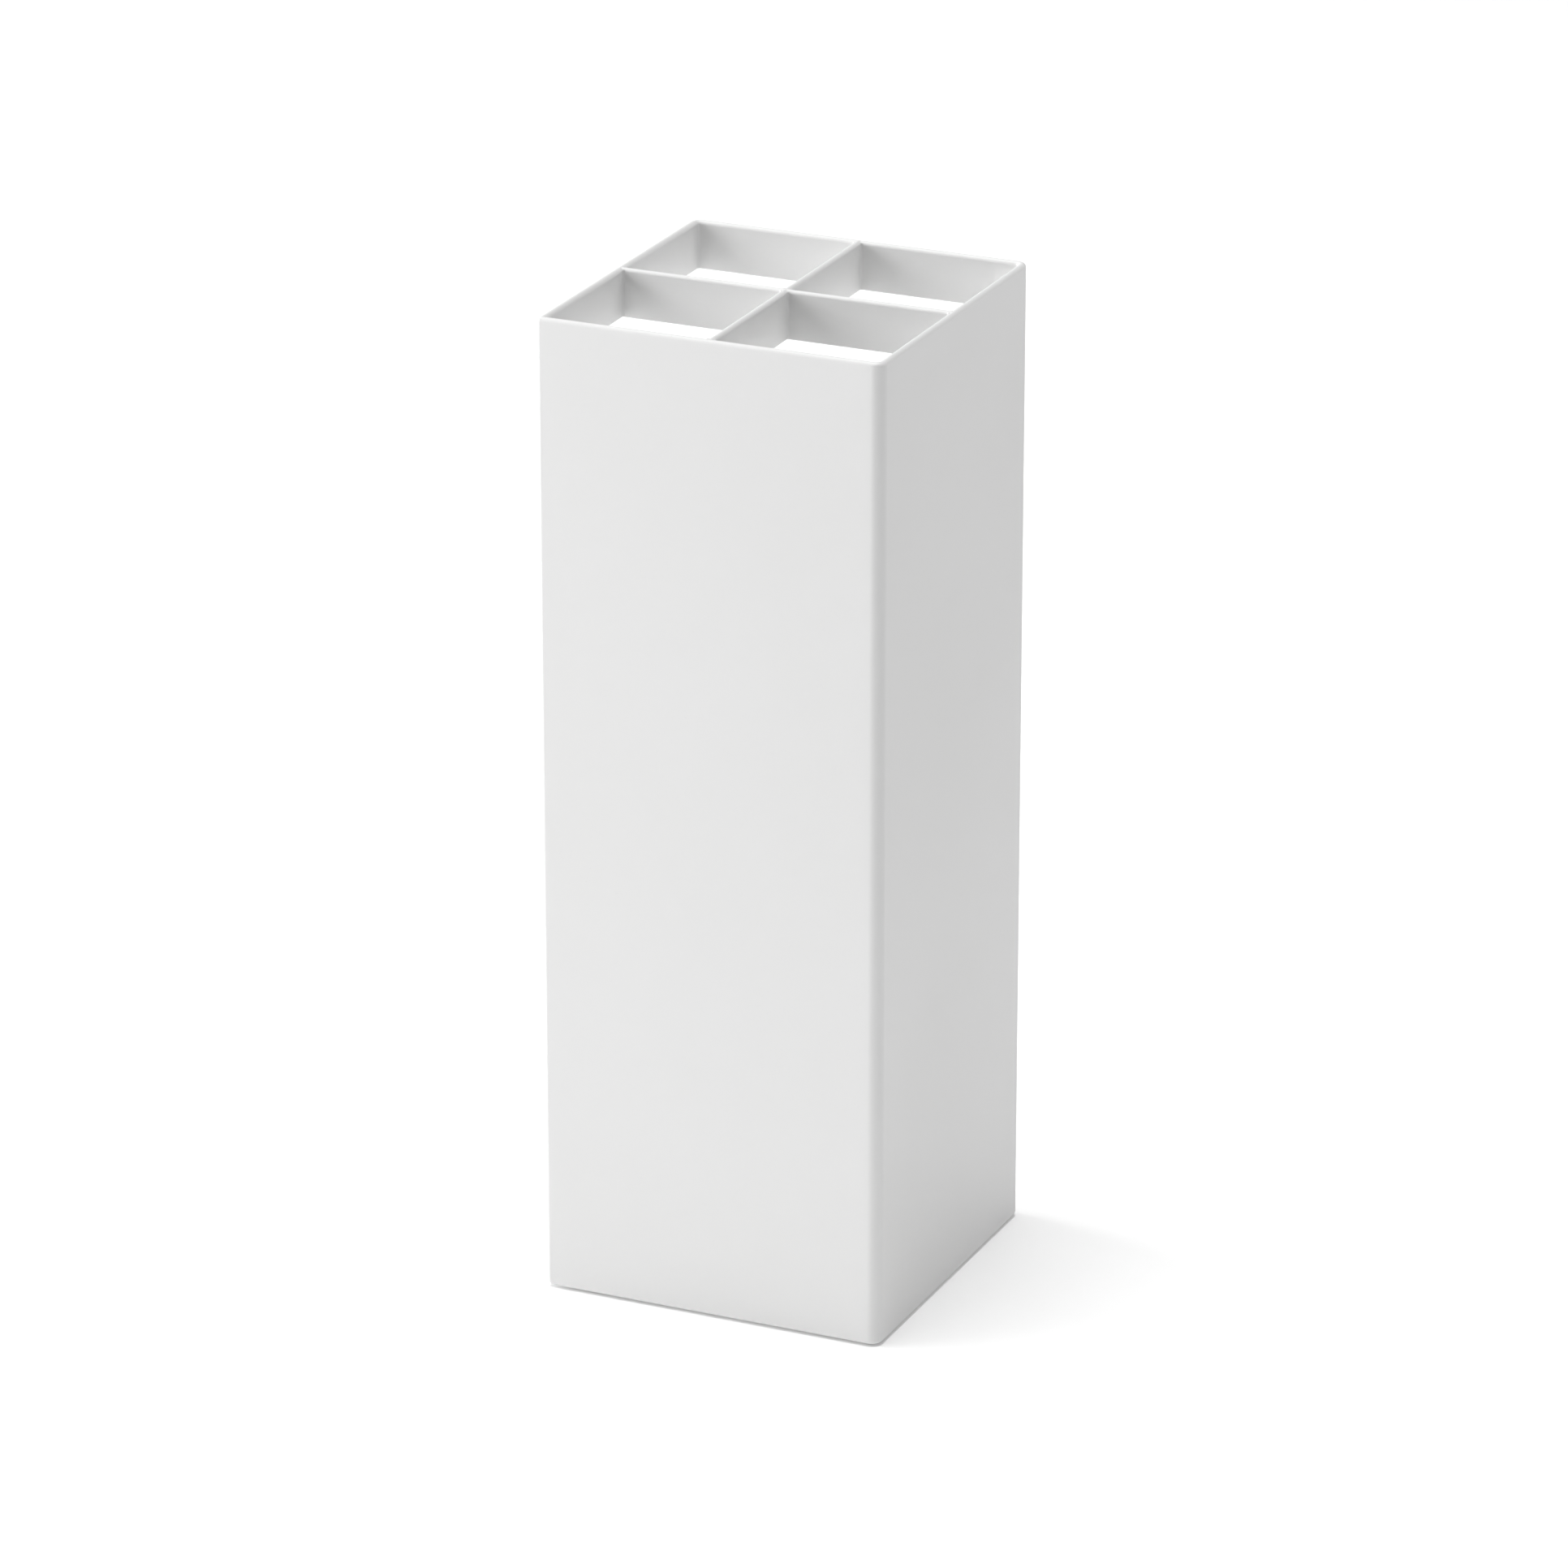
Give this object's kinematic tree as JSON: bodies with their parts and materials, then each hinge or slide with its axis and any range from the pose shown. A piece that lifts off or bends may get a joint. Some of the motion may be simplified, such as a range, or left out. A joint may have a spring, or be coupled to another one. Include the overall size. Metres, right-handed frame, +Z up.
{
  "type": "umbrella stand",
  "caption": "Tall square umbrella stand of white folded steel, closed on the front and right, open on the back and left, with a crossed divider rim and a pull-out drip tray.",
  "frame": {"origin": "middle of the bounding box's bottom, on the floor under the centre of the stand", "axes": "+Z up; the closed front faces -Y, the closed right side faces +X, the back and the left side are open, and the tray pulls out along -X"},
  "size_m": [0.16, 0.16, 0.45],
  "materials": {
    "powder_coat": "satin white powder coat",
    "tray_plastic": "fine matt moulded plastic, light grey",
    "foot_rubber": "matt grey rubber"
  },
  "bodies": {
    "stand": {"cover_panel": "powder_coat", "rim_band": "powder_coat", "divider_front_to_back": "powder_coat", "divider_left_to_right": "powder_coat", "base_pan": "powder_coat", "foot_pad_front_left": "foot_rubber", "foot_pad_front_right": "foot_rubber", "foot_pad_back_left": "foot_rubber", "foot_pad_back_right": "foot_rubber"},
    "tray": {"drip_tray": "tray_plastic"}
  },
  "joints": [
    {"name": "tray_slide", "type": "slide", "parent": "stand", "child": "tray", "axis": [-1, 0, 0], "range_m": [0, 0.16]}
  ]
}
